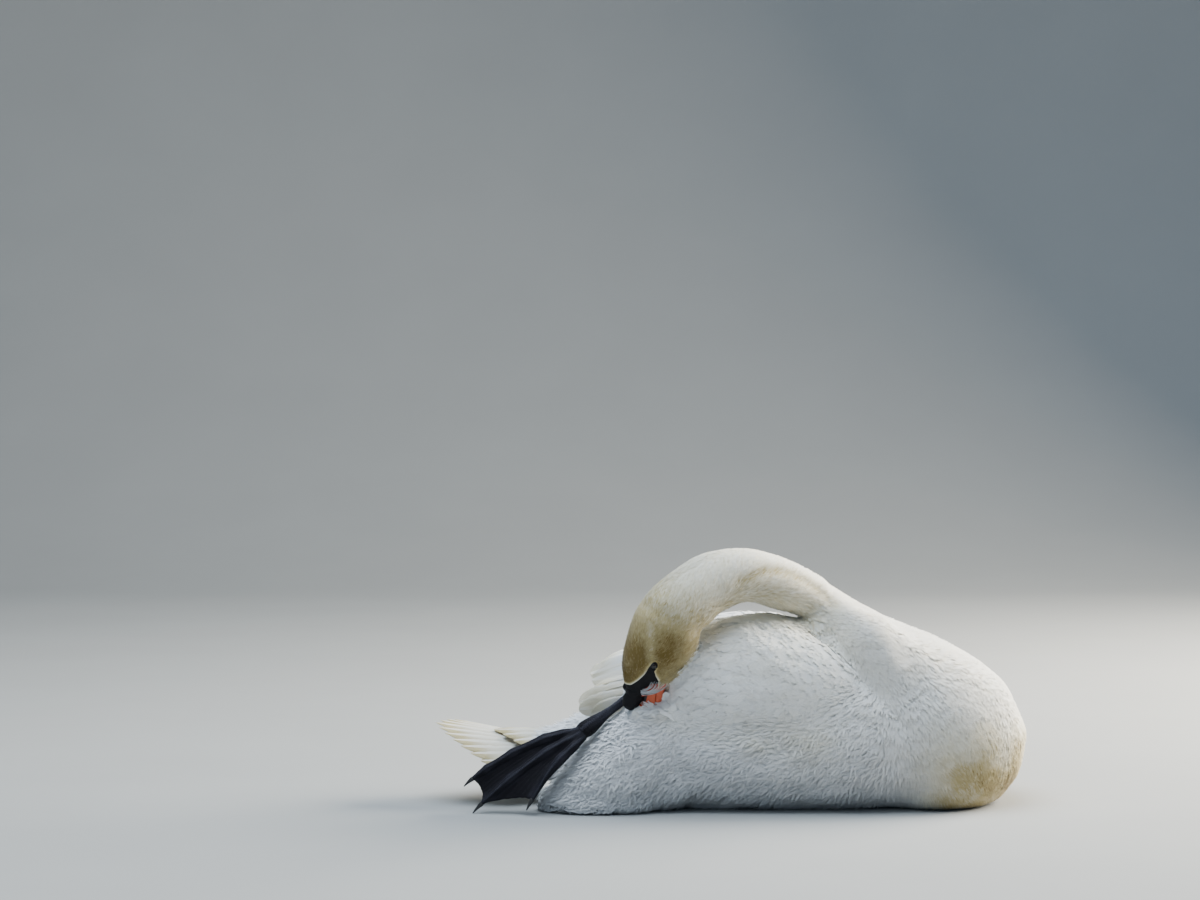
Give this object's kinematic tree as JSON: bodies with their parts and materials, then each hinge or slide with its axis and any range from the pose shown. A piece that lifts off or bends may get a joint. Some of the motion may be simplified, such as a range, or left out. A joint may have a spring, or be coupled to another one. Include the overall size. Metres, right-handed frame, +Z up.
{
  "type": "mute swan figure",
  "caption": "Life-size still model of a mute swan sitting with its neck arched back, its bill in the plumage of its flank and a black webbed foot stretched out behind.",
  "frame": {"origin": "middle of the bounding box, at the floor the bird rests on", "axes": "+X along the body towards the breast, +Z up, the bird's right side (with the tucked head and the stretched leg) facing -Y"},
  "size_m": [0.827, 0.3493, 0.36],
  "materials": {
    "plumage": "white body feathers, matte",
    "stained_plumage": "short white feathers with an ochre stain, matte",
    "flight_feathers": "stiff white feathers, satin",
    "orange_bill": "orange-red horn, satin",
    "black_skin": "bare black skin, satin",
    "leg_skin": "black scaled skin and webs, satin",
    "claw": "black horn, semi-gloss",
    "eye": "dark brown, wet gloss"
  },
  "bodies": {
    "root": {"head": "stained_plumage", "eye_left": "eye", "eye_right": "eye", "bill_knob": "black_skin", "bill_upper": "orange_bill", "bill_nail": "black_skin", "bill_lower": "orange_bill", "breast": "plumage", "neck_base": "plumage", "neck_lower": "plumage", "neck_middle": "plumage", "neck_upper": "plumage", "trunk": "plumage", "thigh_right": "plumage", "thigh_left": "plumage", "wing_right": "plumage", "wing_left": "plumage", "tertials_right": "flight_feathers", "tertials_left": "flight_feathers", "primaries_right": "flight_feathers", "primaries_left": "flight_feathers", "tail": "flight_feathers", "tarsus_right": "leg_skin", "foot_right": "leg_skin", "claw_inner_right": "claw", "claw_middle_right": "claw", "claw_outer_right": "claw", "claw_hind_right": "claw", "tarsus_left": "leg_skin", "foot_left": "leg_skin", "claw_inner_left": "claw", "claw_middle_left": "claw", "claw_outer_left": "claw", "claw_hind_left": "claw"}
  },
  "joints": []
}
